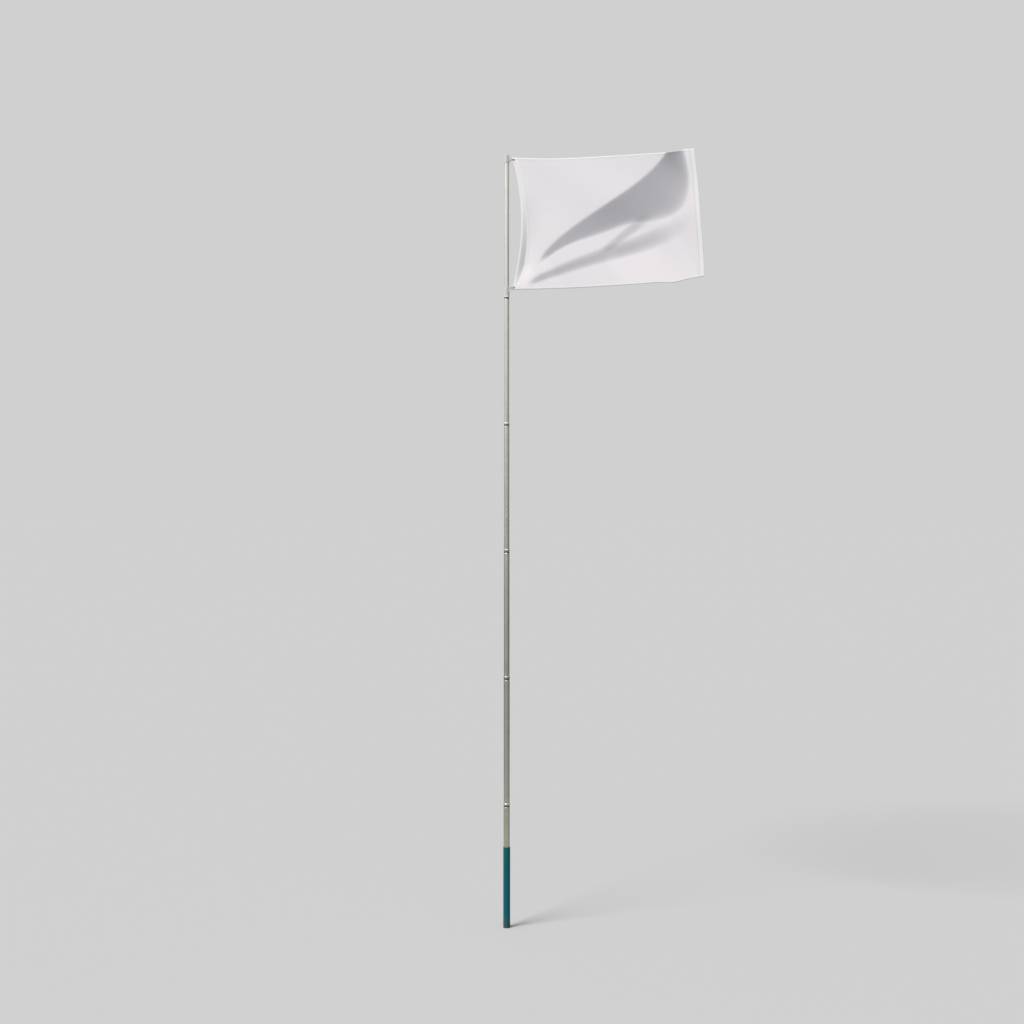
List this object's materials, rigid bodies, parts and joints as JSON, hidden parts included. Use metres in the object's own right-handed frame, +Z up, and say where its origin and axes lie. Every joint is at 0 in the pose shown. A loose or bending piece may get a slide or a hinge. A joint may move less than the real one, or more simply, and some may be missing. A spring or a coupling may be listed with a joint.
{
  "type": "flagpole",
  "caption": "Plug-together aluminium garden flagpole in a ground sleeve, with a plain white flag on two swivel rings.",
  "frame": {"origin": "pole axis at ground level, centre of the sleeve's foot face", "axes": "+Z up along the pole, -Y towards the viewer, +X to the viewer's right. At rest the flag flies to the right and forward, 35 degrees from +X towards -Y"},
  "size_m": [1.2701, 0.7415, 5.253],
  "materials": {
    "tube_aluminium": "drawn and clear anodised",
    "collar_aluminium": "turned, brighter than the tubes",
    "dark_plastic": "fine matt",
    "sleeve_paint": "petrol blue-green coating, half gloss",
    "grey_plastic": "light grey moulding",
    "clip_steel": "zinc plated",
    "grommet_metal": "nickel plated",
    "flag_cloth": "white woven polyester"
  },
  "bodies": {
    "mast": {"ground_sleeve": "sleeve_paint", "sleeve_bush": "dark_plastic", "tube_1": "tube_aluminium", "tube_2": "tube_aluminium", "tube_3": "tube_aluminium", "tube_4": "tube_aluminium", "tube_5": "tube_aluminium", "tube_6": "tube_aluminium", "joint_collar_1": "collar_aluminium", "joint_collar_2": "collar_aluminium", "joint_collar_3": "collar_aluminium", "joint_collar_4": "collar_aluminium", "joint_collar_5": "collar_aluminium", "joint_seal_1": "dark_plastic", "joint_seal_2": "dark_plastic", "joint_seal_3": "dark_plastic", "joint_seal_4": "dark_plastic", "joint_seal_5": "dark_plastic", "head_cap": "grey_plastic", "upper_stop_ring": "grey_plastic", "lower_stop_ring": "grey_plastic"},
    "flag": {"upper_swivel_ring": "grey_plastic", "lower_swivel_ring": "grey_plastic", "upper_clip": "clip_steel", "lower_clip": "clip_steel", "upper_clip_gate": "clip_steel", "lower_clip_gate": "clip_steel", "upper_grommet": "grommet_metal", "lower_grommet": "grommet_metal", "flag_cloth": "flag_cloth"}
  },
  "joints": [
    {"name": "flag_swivel", "type": "hinge", "parent": "mast", "child": "flag", "pos_m": [0, 0, 5.2], "axis": [0, 0, 1], "continuous": true}
  ]
}
